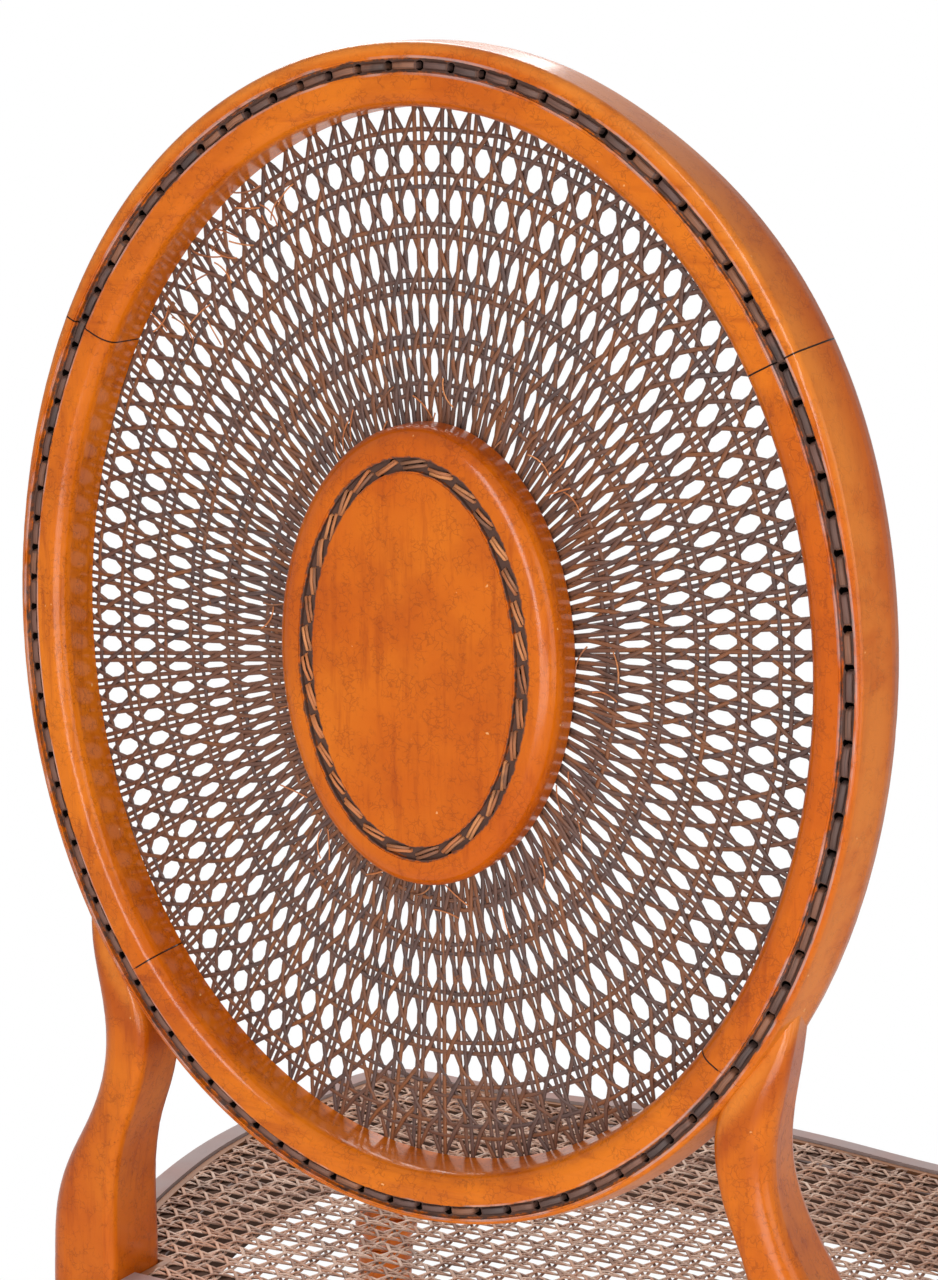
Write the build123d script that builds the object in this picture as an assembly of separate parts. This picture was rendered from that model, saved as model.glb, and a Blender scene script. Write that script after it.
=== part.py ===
from build123d import *
import math
import os

# A cane chair with an oval back: all sizes in millimetres, +Z up, the sitter faces -Y,
# origin on the floor under the middle of the chair.

# Whole chair
SEAT_HEIGHT = 440.0
BACK_RISE = 309.0
BACK_TILT_DEG = 4.5

# Oval of the back, measured on the middle line of its groove
OVAL_HALF_WIDTH = 190.0
OVAL_HALF_HEIGHT = 240.0
FRAME_INSIDE = 16.0
FRAME_OUTSIDE = 15.0
FRAME_DEPTH = 28.0
CANE_LEDGE_DEPTH = 24.0
LEDGE_OUTSIDE = 4.5
SLOPE_DEPTH = 19.0
REAR_OUTER_ROUND = 3.0
REAR_INNER_ROUND = 7.0
SIDE_ROUND = 8.0
FRONT_OUTER_ROUND = 4.5
UPPER_JOINT_DEG = 33.3
LOWER_JOINT_DEG = 40.6
JOINT_SLIT_DEG = 0.06
DEPTH_TOLERANCE = 0.05

# Outer edge of the oval frame at even turns from the bottom up to the crown: how far off
# the middle line it lies at the rear and at its widest, as shares of the outer width
FRAME_OUTLINE_SHARES = [
    (0.347, 0.700), (0.347, 0.700), (0.347, 0.700), (0.347, 0.733), (0.347, 0.767),
    (0.347, 0.767), (0.347, 0.800), (0.387, 0.900), (0.500, 1.000), (0.620, 0.933),
    (0.667, 0.733), (0.640, 0.687), (0.600, 0.653),
]

# Groove and drilled holes that hold the cane of the back
GROOVE_WIDTH = 5.6
GROOVE_DEPTH = 2.5
GROOVE_LIP = 0.8
HOLE_DIAMETER = 4.0
FRAME_HOLES = 96
STITCH_HOLE_DIAMETER = 2.4
STITCH_HOLES = 64
STITCH_ROW_OFFSET = 1.5

# How far the drilled holes stand off an even pitch, as shares of the pitch of the frame
HOLE_START_SHARE = 0.15
HOLE_DRIFT_ACROSS_SHARE = 0.28
HOLE_DRIFT_UP_SHARE = -0.75

# Medallion in the middle of the back
MEDALLION_GROOVE_HALF_WIDTH = 50.5
MEDALLION_GROOVE_HALF_HEIGHT = 82.0
MEDALLION_OUTSIDE = 15.5
MEDALLION_DEPTH = 22.0
MEDALLION_REAR_ROUND = 9.0
MEDALLION_FRONT_ROUND = 4.0
MEDALLION_BOSS_INSIDE = 9.0
MEDALLION_BOSS_HEIGHT = 3.0

# Cane of the back
CANE_THICKNESS = 1.6
CANE_EDGE_MARGIN = 3.6
BACK_NET_ROWS = 6
BACK_NET_COLUMNS = 48
NET_GAP_WIDTH_SHARE = 0.52
NET_GAP_HEIGHT_SHARE = 0.66
NET_SHOULDER_SHARE = 0.42
TIE_WIDTH = 3.0
TIE_THICKNESS = 0.9
TIE_END_GAP = 1.0
STITCH_WIDTH = 2.0
STITCH_END_GAP = 2.0
BINDER_WIDTH = 5.0
BINDER_THICKNESS = 1.0
SEAT_CLEARANCE = 0.3

# Seat frame
SEAT_HALF_WIDTH = 237.0
SEAT_DEPTH = 398.0
SEAT_RAIL_HEIGHT = 46.0
SEAT_RAIL_WIDTH = 36.0
SEAT_RIM_WIDTH = 12.0
SEAT_RIM_HEIGHT = 3.5
SEAT_RIM_ROUND = 2.0
REAR_RAIL_THICKNESS = 44.0
REAR_RIM_WIDTH = 18.0
FRONT_RAIL_RETURN = 82.0
SPLINE_WIDTH = 4.0
SPLINE_DEPTH = 6.0
SEAT_NET_ROWS = 15
SEAT_NET_COLUMNS = 18
SEAT_NET_MARGIN = 4.0
SEAT_GAP_SHARE = 0.58
GAP_SHOULDER_SHARE = 0.45

# Outline of the seat from the rear post to the middle of the front: shares of the
# half width, and of the depth measured forwards from the rear face of the posts
SEAT_OUTLINE_SHARES = [
    (0.810, 0.0), (0.830, 0.085), (0.896, 0.215), (0.954, 0.352), (0.990, 0.480),
    (1.000, 0.590), (0.994, 0.715), (0.976, 0.830), (0.960, 0.885), (0.915, 0.932),
    (0.840, 0.950), (0.720, 0.949), (0.600, 0.952), (0.460, 0.961), (0.250, 0.986),
    (0.0, 1.0),
]
CORNER_WIDTH_SHARE = 0.970
SHOULDER_POINT = -5

# Rear posts
POST_DEPTH_AT_SEAT = 42.0
POST_DEPTH_AT_FLOOR = 29.0
POST_RAKE = 58.0
POST_OUTER_REAR_ROUND = 10.0
POST_INNER_REAR_ROUND = 5.0
POST_FRONT_ROUND = 6.0
POST_FOOT_INSIDE = 166.0
POST_FOOT_OUTSIDE = 193.0
POST_ROUND_LIMIT_SHARE = 0.4

# Stations of a post above the seat: height as a share of the oval's half height, inner
# and outer edge as shares of its half width, start and end of the depth as shares of
# the depth of the oval frame
POST_STATION_SHARES = [
    (-0.500, 0.866, 0.900, 0.36, 0.76),
    (-0.575, 0.832, 0.892, 0.20, 0.90),
    (-0.640, 0.786, 0.880, 0.08, 1.01),
    (-0.700, 0.742, 0.866, 0.02, 1.08),
    (-0.765, 0.724, 0.855, 0.00, 1.16),
    (-0.835, 0.732, 0.857, 0.00, 1.24),
    (-0.905, 0.757, 0.878, 0.00, 1.31),
    (-0.980, 0.794, 0.921, 0.00, 1.37),
    (-1.060, 0.820, 0.976, 0.00, 1.42),
    (-1.150, 0.832, 1.015, 0.00, 1.47),
    (-1.245, 0.834, 1.028, 0.00, 1.50),
]
# Stations below the seat rim: share of the height of the seat, share of the rake
POST_LEG_SHARES = [(0.88, 0.0), (0.70, 0.05), (0.50, 0.20), (0.30, 0.45), (0.13, 0.76), (0.0, 1.0)]

# Front legs, turned, and their round tenons
LEG_SETBACK = 21.0
LEG_TOP_DIAMETER = 36.0
LEG_TENON_DIAMETER = 22.0
LEG_TENON_LENGTH = 30.0
# Turned members from the top: share of the leg's length, and the diameter at the
# member's start, middle and end as shares of the diameter at the top
LEG_TURNING_SHARES = [
    (0.040, 0.94, 1.00, 0.94),
    (0.055, 0.80, 0.66, 0.76),
    (0.028, 0.92, 1.02, 0.92),
    (0.020, 0.74, 0.72, 0.78),
    (0.740, 0.90, 0.74, 0.52),
    (0.022, 0.64, 0.72, 0.64),
    (0.015, 0.52, 0.50, 0.52),
    (0.080, 0.58, 0.74, 0.50),
]

# Dowels
DOWEL_DIAMETER = 6.0
DOWEL_LENGTH = 30.0
DOWEL_CLEARANCE = 0.1
DOWEL_INSIDE = 8.5
DOWEL_OUTSIDE = 7.5
RAIL_DOWEL_DIAMETER = 8.0
RAIL_DOWEL_LENGTH = 40.0
RAIL_DOWEL_IN_POST = 18.0
RAIL_DOWEL_SPACING = 20.0
REAR_DOWEL_SETBACK = 10.0

OVERRUN = 5.0

# Places that follow from the sizes above
TILT = math.radians(BACK_TILT_DEG)
OVERALL_DEPTH = SEAT_DEPTH + POST_RAKE
REAR_FACE_Y = OVERALL_DEPTH / 2 - POST_RAKE
BACK_PLANE = Plane(
    origin=(0, REAR_FACE_Y + BACK_RISE * math.tan(TILT), SEAT_HEIGHT + BACK_RISE),
    x_dir=(1, 0, 0),
    z_dir=(0, -math.cos(TILT), math.sin(TILT)),
)
BACK = BACK_PLANE.location
POST_SEAT_INSIDE = OVAL_HALF_WIDTH * POST_STATION_SHARES[-1][1]
POST_SEAT_OUTSIDE = OVAL_HALF_WIDTH * POST_STATION_SHARES[-1][2]
SEAT_LEDGE_Z = SEAT_HEIGHT - SEAT_RIM_HEIGHT
SEAT_UNDERSIDE_Z = SEAT_HEIGHT - SEAT_RAIL_HEIGHT


def save(name, solids):
    """Write one sub-part, made of one solid or of several equal ones."""
    shape = Compound(children=list(solids)) if isinstance(solids, list) else solids
    export_step(shape, f"parts/{name}.step")


def oval_point(half_width, half_height, angle):
    return (half_width * math.cos(angle), half_height * math.sin(angle))


def hole_angles(half_width, half_height, count):
    """Angles that step along an oval at the almost even pitch of the drilled holes."""
    steps = 3600
    length = [0.0]
    previous = oval_point(half_width, half_height, 0.0)
    for step in range(1, steps + 1):
        point = oval_point(half_width, half_height, math.tau * step / steps)
        length.append(length[-1] + math.dist(previous, point))
        previous = point
    angles = []
    step = 0
    for number in range(count):
        turn = math.tau * number / count
        drift = HOLE_DRIFT_ACROSS_SHARE * math.cos(turn) + HOLE_DRIFT_UP_SHARE * math.sin(turn)
        target = length[-1] * (number / count + (HOLE_START_SHARE + drift) / FRAME_HOLES)
        while length[step + 1] < target:
            step += 1
        part = (target - length[step]) / (length[step + 1] - length[step])
        angles.append(math.tau * (step + part) / steps)
    return angles


def oval_plate(half_width, half_height, bottom, top):
    """A flat oval plate between two depths behind the plane of the back."""
    return Pos(0, 0, bottom) * extrude(Ellipse(half_width, half_height), top - bottom)


def oval_band(half_width, half_height, inside, outside, bottom, top):
    outer = oval_plate(half_width + outside, half_height + outside, bottom, top)
    inner = oval_plate(half_width - inside, half_height - inside, bottom - OVERRUN, top + OVERRUN)
    return outer - inner


def edges_at_depth(shape, depth, inner):
    """The inner or outer rim edges of an oval band at one depth."""
    level = [e for e in shape.edges() if abs(e.center().Z - depth) < DEPTH_TOLERANCE]
    level.sort(key=lambda e: e.length)
    half = len(level) // 2
    return level[:half] if inner else level[half:]


def oval_normal(angle):
    x = OVAL_HALF_HEIGHT * math.cos(angle)
    y = OVAL_HALF_WIDTH * math.sin(angle)
    return Vector(x, y, 0).normalized()


def off_oval(angle, distance):
    """A point square off the middle line of the oval."""
    x, y = oval_point(OVAL_HALF_WIDTH, OVAL_HALF_HEIGHT, angle)
    return Vector(x, y, 0) + oval_normal(angle) * distance


def frame_outline(widest):
    """A face bounded by the outer edge of the frame, at the rear or at its widest."""
    turns = len(FRAME_OUTLINE_SHARES) - 1
    right = []
    for number, shares in enumerate(FRAME_OUTLINE_SHARES):
        angle = math.pi * (number / turns - 1 / 2)
        right.append(off_oval(angle, FRAME_OUTSIDE * shares[1 if widest else 0]))
    left = [Vector(-p.X, p.Y, 0) for p in right[-2:0:-1]]
    return make_face(Spline(*right, *left, periodic=True))


def oval_frame():
    """The whole ring of the back, with a sloping outer side, before it is cut into its four parts."""
    widest = Pos(0, 0, SLOPE_DEPTH) * frame_outline(True)
    slope = loft([frame_outline(False).face(), widest.face()], ruled=True)
    body = slope + extrude(widest.face(), FRAME_DEPTH - SLOPE_DEPTH, dir=(0, 0, 1))
    body -= oval_plate(OVAL_HALF_WIDTH - FRAME_INSIDE, OVAL_HALF_HEIGHT - FRAME_INSIDE,
                       -OVERRUN, FRAME_DEPTH + OVERRUN)
    body = fillet(edges_at_depth(body, 0, True), REAR_INNER_ROUND)
    body = fillet(edges_at_depth(body, 0, False), REAR_OUTER_ROUND)
    body = fillet(edges_at_depth(body, SLOPE_DEPTH, False), SIDE_ROUND)
    body = fillet(edges_at_depth(body, FRAME_DEPTH, False), FRONT_OUTER_ROUND)
    ledge = oval_plate(OVAL_HALF_WIDTH + LEDGE_OUTSIDE, OVAL_HALF_HEIGHT + LEDGE_OUTSIDE,
                       CANE_LEDGE_DEPTH, FRAME_DEPTH + OVERRUN)
    return body - ledge


def groove_tool(half_width, half_height, rear):
    """The groove that sinks the cane ties, with eased lips."""
    half = GROOVE_WIDTH / 2
    trench = oval_band(half_width, half_height, half, half, rear, rear + GROOVE_DEPTH)
    lip = oval_band(half_width, half_height, half + GROOVE_LIP, half + GROOVE_LIP,
                    rear - OVERRUN, rear + GROOVE_LIP / 2)
    return trench + lip


def frame_holes():
    """Where the holes of the oval are drilled, one for each column of the cane."""
    angles = hole_angles(OVAL_HALF_WIDTH, OVAL_HALF_HEIGHT, FRAME_HOLES)
    return [Vector(*oval_point(OVAL_HALF_WIDTH, OVAL_HALF_HEIGHT, a)) for a in angles]


def stitch_holes():
    """Where the holes of the medallion are drilled, by turns inside and outside its groove's middle."""
    wide = MEDALLION_GROOVE_HALF_WIDTH
    tall = MEDALLION_GROOVE_HALF_HEIGHT
    places = []
    for number, angle in enumerate(hole_angles(wide, tall, STITCH_HOLES)):
        offset = STITCH_ROW_OFFSET if number % 2 else -STITCH_ROW_OFFSET
        places.append(Vector(*oval_point(wide + offset, tall + offset, angle)))
    return places


def hole_tools(places, diameter, bottom, top):
    tools = []
    for place in places:
        tools.append(Pos(place.X, place.Y, bottom) * extrude(Circle(diameter / 2), top - bottom))
    return tools


def sector(start_deg, end_deg):
    """A wedge that keeps the part of the ring between two joints, cut square to it."""
    start = math.radians(start_deg)
    end = math.radians(end_deg)
    steps = 6
    points = [off_oval(start, -FRAME_INSIDE * 2)]
    for step in range(steps + 1):
        points.append(off_oval(start + (end - start) * step / steps, OVAL_HALF_WIDTH))
    points.append(off_oval(end, -FRAME_INSIDE * 2))
    wedge = make_face(Polyline(*points, close=True))
    return Pos(0, 0, -OVERRUN) * extrude(wedge, FRAME_DEPTH + OVERRUN * 2)


def post_section(side, inside, outside, front, rear):
    """A section of one post, rounded most at its outer rear corner."""
    limit = min(outside - inside, rear - front) * POST_ROUND_LIMIT_SHARE
    middle = (side * (inside + outside) / 2, (front + rear) / 2)
    section = Pos(*middle) * Rectangle(outside - inside, rear - front)
    corners = [
        (inside, front, POST_FRONT_ROUND),
        (outside, front, POST_FRONT_ROUND),
        (inside, rear, POST_INNER_REAR_ROUND),
        (outside, rear, POST_OUTER_REAR_ROUND),
    ]
    for x, y, radius in corners:
        corner = section.vertices().sort_by_distance((side * x, y, 0))[0]
        section = fillet(corner, min(radius, limit))
    return section


def post_sections(side):
    """Sections of one rear post from the oval down to the floor."""
    sections = []
    for height, inner, outer, start, end in POST_STATION_SHARES:
        plane = Plane(origin=(0, OVAL_HALF_HEIGHT * height, 0), x_dir=(1, 0, 0), z_dir=(0, 1, 0))
        sketch = post_section(side, inner * OVAL_HALF_WIDTH, outer * OVAL_HALF_WIDTH,
                              -FRAME_DEPTH * end, -FRAME_DEPTH * start)
        sections.append(BACK * (plane.location * sketch).face())
    for height, rake in POST_LEG_SHARES:
        drop = 1 - height
        inner = POST_SEAT_INSIDE + (POST_FOOT_INSIDE - POST_SEAT_INSIDE) * drop
        outer = POST_SEAT_OUTSIDE + (POST_FOOT_OUTSIDE - POST_SEAT_OUTSIDE) * drop
        depth = POST_DEPTH_AT_SEAT + (POST_DEPTH_AT_FLOOR - POST_DEPTH_AT_SEAT) * drop
        rear = REAR_FACE_Y + POST_RAKE * rake
        sketch = post_section(side, inner, outer, rear - depth, rear)
        sections.append((Pos(0, 0, SEAT_HEIGHT * height) * sketch).face())
    return sections


def joint_dowel_places():
    """Angle, and distance off the middle line, of every dowel that crosses a joint of the back."""
    upper = math.radians(UPPER_JOINT_DEG)
    lower = -math.radians(LOWER_JOINT_DEG)
    places = []
    for angle, distance in ((upper, -DOWEL_INSIDE), (upper, DOWEL_OUTSIDE), (lower, -DOWEL_INSIDE)):
        places.append((angle, distance))
        places.append((math.pi - angle, distance))
    return places


def joint_dowels(clearance=0.0):
    """The dowels that cross the four joints of the oval, or their holes."""
    dowels = []
    for angle, distance in joint_dowel_places():
        place = off_oval(angle, distance) + Vector(0, 0, FRAME_DEPTH / 2)
        along = oval_normal(angle).cross(Vector(0, 0, 1))
        plane = Plane(origin=place, z_dir=along)
        length = DOWEL_LENGTH + clearance * 2
        peg = Cylinder(DOWEL_DIAMETER / 2 + clearance, length)
        dowels.append(BACK * (plane.location * peg))
    return dowels


def back_cuts():
    """Everything that is cut out of the joined-up wood of the oval."""
    groove = groove_tool(OVAL_HALF_WIDTH, OVAL_HALF_HEIGHT, 0)
    holes = hole_tools(frame_holes(), HOLE_DIAMETER, -OVERRUN, FRAME_DEPTH + OVERRUN)
    ledge = oval_plate(OVAL_HALF_WIDTH + LEDGE_OUTSIDE, OVAL_HALF_HEIGHT + LEDGE_OUTSIDE,
                       CANE_LEDGE_DEPTH, FRAME_DEPTH + OVERRUN * 2)
    cuts = [BACK * groove, BACK * ledge]
    cuts += [BACK * hole for hole in holes]
    return cuts + joint_dowels(DOWEL_CLEARANCE)


def near(shape, tools):
    """The tools that come near a shape, so that each cut is a short one."""
    box = shape.bounding_box()
    kept = []
    for tool in tools:
        other = tool.bounding_box()
        apart = (
            other.min.X > box.max.X or other.max.X < box.min.X
            or other.min.Z > box.max.Z or other.max.Z < box.min.Z
        )
        if not apart:
            kept.append(tool)
    return kept


def rear_post(side, ring):
    """One rear post: foot, leg, curved stile and its side of the oval, in one piece."""
    if side > 0:
        arc = ring & sector(-LOWER_JOINT_DEG + JOINT_SLIT_DEG, UPPER_JOINT_DEG - JOINT_SLIT_DEG)
    else:
        arc = ring & sector(180 - UPPER_JOINT_DEG + JOINT_SLIT_DEG,
                            180 + LOWER_JOINT_DEG - JOINT_SLIT_DEG)
    return BACK * arc + loft(post_sections(side))


def crest_rail(ring, cuts):
    """The top of the oval, between the two upper joints."""
    body = BACK * (ring & sector(UPPER_JOINT_DEG, 180 - UPPER_JOINT_DEG))
    return body - near(body, cuts)


def lower_back_rail(ring, posts, cuts):
    """The bottom of the oval, coped round the two posts."""
    body = BACK * (ring & sector(180 + LOWER_JOINT_DEG, 360 - LOWER_JOINT_DEG))
    body = body - near(body, cuts)
    return (body - posts).solids().sort_by(SortBy.VOLUME)[-1]


def medallion():
    """The oval plaque that the cane of the back runs into, flat towards the rear."""
    half_width = MEDALLION_GROOVE_HALF_WIDTH + MEDALLION_OUTSIDE
    half_height = MEDALLION_GROOVE_HALF_HEIGHT + MEDALLION_OUTSIDE
    rear = CANE_LEDGE_DEPTH - MEDALLION_DEPTH
    body = oval_plate(half_width, half_height, rear, CANE_LEDGE_DEPTH)
    body = fillet(body.edges().group_by(Axis.Z)[0], MEDALLION_REAR_ROUND)
    body = fillet(body.edges().group_by(Axis.Z)[-1], MEDALLION_FRONT_ROUND)
    boss = oval_plate(MEDALLION_GROOVE_HALF_WIDTH - MEDALLION_BOSS_INSIDE,
                      MEDALLION_GROOVE_HALF_HEIGHT - MEDALLION_BOSS_INSIDE,
                      CANE_LEDGE_DEPTH - OVERRUN, CANE_LEDGE_DEPTH + MEDALLION_BOSS_HEIGHT)
    boss = fillet(boss.edges().group_by(Axis.Z)[-1], MEDALLION_BOSS_HEIGHT / 2)
    body = body + boss
    body = body - groove_tool(MEDALLION_GROOVE_HALF_WIDTH, MEDALLION_GROOVE_HALF_HEIGHT, rear)
    holes = hole_tools(stitch_holes(), STITCH_HOLE_DIAMETER, -OVERRUN, CANE_LEDGE_DEPTH + OVERRUN)
    return BACK * (body - holes)


def cane_ties(places, width, end_gap, floor_depth):
    """Flat strands that lie in a groove between every two neighbouring holes."""
    ties = []
    for number, start in enumerate(places):
        run = places[(number + 1) % len(places)] - start
        middle = start + run / 2 + Vector(0, 0, floor_depth - TIE_THICKNESS / 2)
        plane = Plane(origin=middle, x_dir=run, z_dir=(0, 0, 1))
        strip = Box(run.length - end_gap, width, TIE_THICKNESS)
        ties.append(BACK * (plane.location * strip))
    return ties


def net_point(inner, outer, column, share):
    """A point on the fan of strands between the medallion and the frame."""
    count = len(inner)
    low = int(math.floor(column))
    part = column - low
    ends = []
    for ring_points in (inner, outer):
        first = ring_points[low % count]
        second = ring_points[(low + 1) % count]
        ends.append(first + (second - first) * part)
    return ends[0] + (ends[1] - ends[0]) * share


def back_net():
    """The cane of the back as one holed sheet that lies on the frame and the medallion."""
    med_w = MEDALLION_GROOVE_HALF_WIDTH + MEDALLION_OUTSIDE
    med_h = MEDALLION_GROOVE_HALF_HEIGHT + MEDALLION_OUTSIDE
    in_w = OVAL_HALF_WIDTH - FRAME_INSIDE
    in_h = OVAL_HALF_HEIGHT - FRAME_INSIDE
    inner = [Vector(*oval_point(med_w, med_h, a)) for a in hole_angles(med_w, med_h, BACK_NET_COLUMNS)]
    outer = [Vector(*oval_point(in_w, in_h, a)) for a in hole_angles(in_w, in_h, BACK_NET_COLUMNS)]
    row = 1 / BACK_NET_ROWS
    tall = row * NET_GAP_HEIGHT_SHARE / 2
    wide = NET_GAP_WIDTH_SHARE / 2
    shoulder = tall * NET_SHOULDER_SHARE
    gaps = []
    for level in range(BACK_NET_ROWS):
        middle = (level + 1 / 2) * row
        for column in range(BACK_NET_COLUMNS):
            corners = [(0, tall), (wide, shoulder), (wide, -shoulder),
                       (0, -tall), (-wide, -shoulder), (-wide, shoulder)]
            points = [net_point(inner, outer, column + c, middle + s) for c, s in corners]
            gaps.append(Wire.make_polygon(points, close=True))
    edge = Ellipse(OVAL_HALF_WIDTH + CANE_EDGE_MARGIN, OVAL_HALF_HEIGHT + CANE_EDGE_MARGIN)
    hub = Ellipse(MEDALLION_GROOVE_HALF_WIDTH - CANE_EDGE_MARGIN,
                  MEDALLION_GROOVE_HALF_HEIGHT - CANE_EDGE_MARGIN)
    sheet = Face(edge.face().outer_wire(), [hub.face().outer_wire()] + gaps)
    net = extrude(sheet, CANE_THICKNESS, dir=(0, 0, 1))
    return BACK * (Pos(0, 0, CANE_LEDGE_DEPTH) * net)


def binder(half_width, half_height):
    """A flat strip of cane that covers a line of holes on the front."""
    half = BINDER_WIDTH / 2
    bottom = CANE_LEDGE_DEPTH + CANE_THICKNESS
    return BACK * oval_band(half_width, half_height, half, half, bottom, bottom + BINDER_THICKNESS)


def seat_points(inset):
    """The outline of the seat from the left post round the front to the right post."""
    half = []
    for wide, forward in SEAT_OUTLINE_SHARES:
        half.append(Vector(SEAT_HALF_WIDTH * wide, REAR_FACE_Y - SEAT_DEPTH * forward, 0))
    left = [Vector(-p.X, p.Y, 0) for p in half[:-1]]
    points = left + half[::-1]
    moved = []
    for number, point in enumerate(points):
        before = points[max(number - 1, 0)]
        after = points[min(number + 1, len(points) - 1)]
        along = (after - before).normalized()
        moved.append(point + Vector(-along.Y, along.X, 0) * inset)
    return moved


def seat_plate(inset, bottom, top):
    """A solid of the seat's outline, drawn in by an inset, between two heights."""
    points = seat_points(inset)
    curve = Spline(*points)
    face = make_face([curve, Line(points[-1], points[0])])
    return Pos(0, 0, bottom) * extrude(face, top - bottom, dir=(0, 0, 1))


def block(x_low, x_high, y_low, y_high, z_low, z_high):
    size = (x_high - x_low, y_high - y_low, z_high - z_low)
    middle = ((x_low + x_high) / 2, (y_low + y_high) / 2, (z_low + z_high) / 2)
    return Pos(*middle) * Box(*size)


def seat_field(inset, bottom, top):
    """The room for the cane inside the rim and the posts, drawn in by an inset."""
    body = seat_plate(SEAT_RIM_WIDTH + inset, bottom, top)
    wide = SEAT_HALF_WIDTH + OVERRUN
    rear = REAR_FACE_Y + OVERRUN
    body -= block(-wide, wide, REAR_FACE_Y - REAR_RIM_WIDTH - inset, rear,
                  bottom - OVERRUN, top + OVERRUN)
    for side in (-1, 1):
        x_ends = sorted((side * (POST_SEAT_INSIDE - inset), side * wide))
        body -= block(*x_ends, REAR_FACE_Y - POST_DEPTH_AT_SEAT - inset, rear,
                      bottom - OVERRUN, top + OVERRUN)
    return body


def rail_dowel(place, along, clearance=0.0):
    plane = Plane(origin=place, z_dir=along)
    peg = Cylinder(RAIL_DOWEL_DIAMETER / 2 + clearance, RAIL_DOWEL_LENGTH + clearance * 2)
    return plane.location * peg


def rail_dowels(clearance=0.0):
    """The dowels of the seat frame: rear rail, side rails and front corners, in pairs."""
    middle_z = SEAT_UNDERSIDE_Z + (SEAT_LEDGE_Z - SEAT_UNDERSIDE_Z) / 2
    shift = RAIL_DOWEL_LENGTH / 2 - RAIL_DOWEL_IN_POST
    post_x = (POST_SEAT_INSIDE + POST_SEAT_OUTSIDE) / 2
    corner_x = SEAT_HALF_WIDTH * CORNER_WIDTH_SHARE - SEAT_RAIL_WIDTH / 2
    corner_y = REAR_FACE_Y - SEAT_DEPTH + FRONT_RAIL_RETURN
    groups = {"rear": [], "side": [], "front": []}
    for side in (-1, 1):
        for lift in (-RAIL_DOWEL_SPACING / 2, RAIL_DOWEL_SPACING / 2):
            z = middle_z + lift
            x = side * (POST_SEAT_INSIDE - shift)
            y = REAR_FACE_Y - REAR_DOWEL_SETBACK
            groups["rear"].append(rail_dowel((x, y, z), (1, 0, 0), clearance))
            y = REAR_FACE_Y - POST_DEPTH_AT_SEAT - shift
            groups["side"].append(rail_dowel((side * post_x, y, z), (0, 1, 0), clearance))
            groups["front"].append(rail_dowel((side * corner_x, corner_y, z), (0, 1, 0), clearance))
    return groups


def leg_places():
    """Where the two front legs stand, under the rounded corners of the seat."""
    shoulder = SEAT_OUTLINE_SHARES[SHOULDER_POINT][1]
    x = SEAT_HALF_WIDTH * CORNER_WIDTH_SHARE - LEG_SETBACK
    y = REAR_FACE_Y - SEAT_DEPTH * shoulder + LEG_SETBACK
    return {"left": (-x, y), "right": (x, y)}


def front_leg(x, y):
    """A turned leg with its round tenon, from the floor up into the seat frame."""
    lines = []
    height = SEAT_UNDERSIDE_Z
    radius = LEG_TOP_DIAMETER / 2
    top = Vector(0, 0, height)
    corner = top
    for length, start, middle, end in LEG_TURNING_SHARES:
        first = Vector(radius * start, 0, height)
        half_way = Vector(radius * middle, 0, height - SEAT_UNDERSIDE_Z * length / 2)
        height -= SEAT_UNDERSIDE_Z * length
        last = Vector(radius * end, 0, height)
        lines += [Line(corner, first), ThreePointArc(first, half_way, last)]
        corner = last
    foot = Vector(0, 0, height)
    lines += [Line(corner, foot), Line(foot, top)]
    body = revolve(make_face(lines), Axis.Z)
    tenon = block_tenon(SEAT_UNDERSIDE_Z - OVERRUN, SEAT_UNDERSIDE_Z + LEG_TENON_LENGTH, 0)
    return Pos(x, y, 0) * (body + tenon)


def block_tenon(bottom, top, clearance):
    radius = LEG_TENON_DIAMETER / 2 + clearance
    return Pos(0, 0, bottom) * extrude(Circle(radius), top - bottom)


def seat_ring():
    """The whole seat frame before it is cut into rails."""
    ring = seat_plate(0, SEAT_UNDERSIDE_Z, SEAT_HEIGHT)
    ring = fillet(ring.edges().group_by(Axis.Z)[-1], SEAT_RIM_ROUND)
    opening = seat_plate(SEAT_RAIL_WIDTH, SEAT_UNDERSIDE_Z - OVERRUN, SEAT_HEIGHT + OVERRUN)
    opening -= block(-SEAT_HALF_WIDTH, SEAT_HALF_WIDTH, REAR_FACE_Y - REAR_RAIL_THICKNESS,
                     REAR_FACE_Y + OVERRUN, 0, SEAT_HEIGHT + OVERRUN * 2)
    ring -= opening
    ring -= seat_field(0, SEAT_LEDGE_Z, SEAT_HEIGHT + OVERRUN)
    channel = seat_field(0, SEAT_LEDGE_Z - SPLINE_DEPTH, SEAT_LEDGE_Z + OVERRUN)
    channel -= seat_field(SPLINE_WIDTH + SEAT_CLEARANCE, SEAT_LEDGE_Z - SPLINE_DEPTH - OVERRUN,
                          SEAT_LEDGE_Z + OVERRUN * 2)
    ring -= channel
    tenon = block_tenon(SEAT_UNDERSIDE_Z - OVERRUN,
                        SEAT_UNDERSIDE_Z + LEG_TENON_LENGTH + DOWEL_CLEARANCE, DOWEL_CLEARANCE)
    for x, y in leg_places().values():
        ring -= Pos(x, y, 0) * tenon
    return ring


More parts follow.
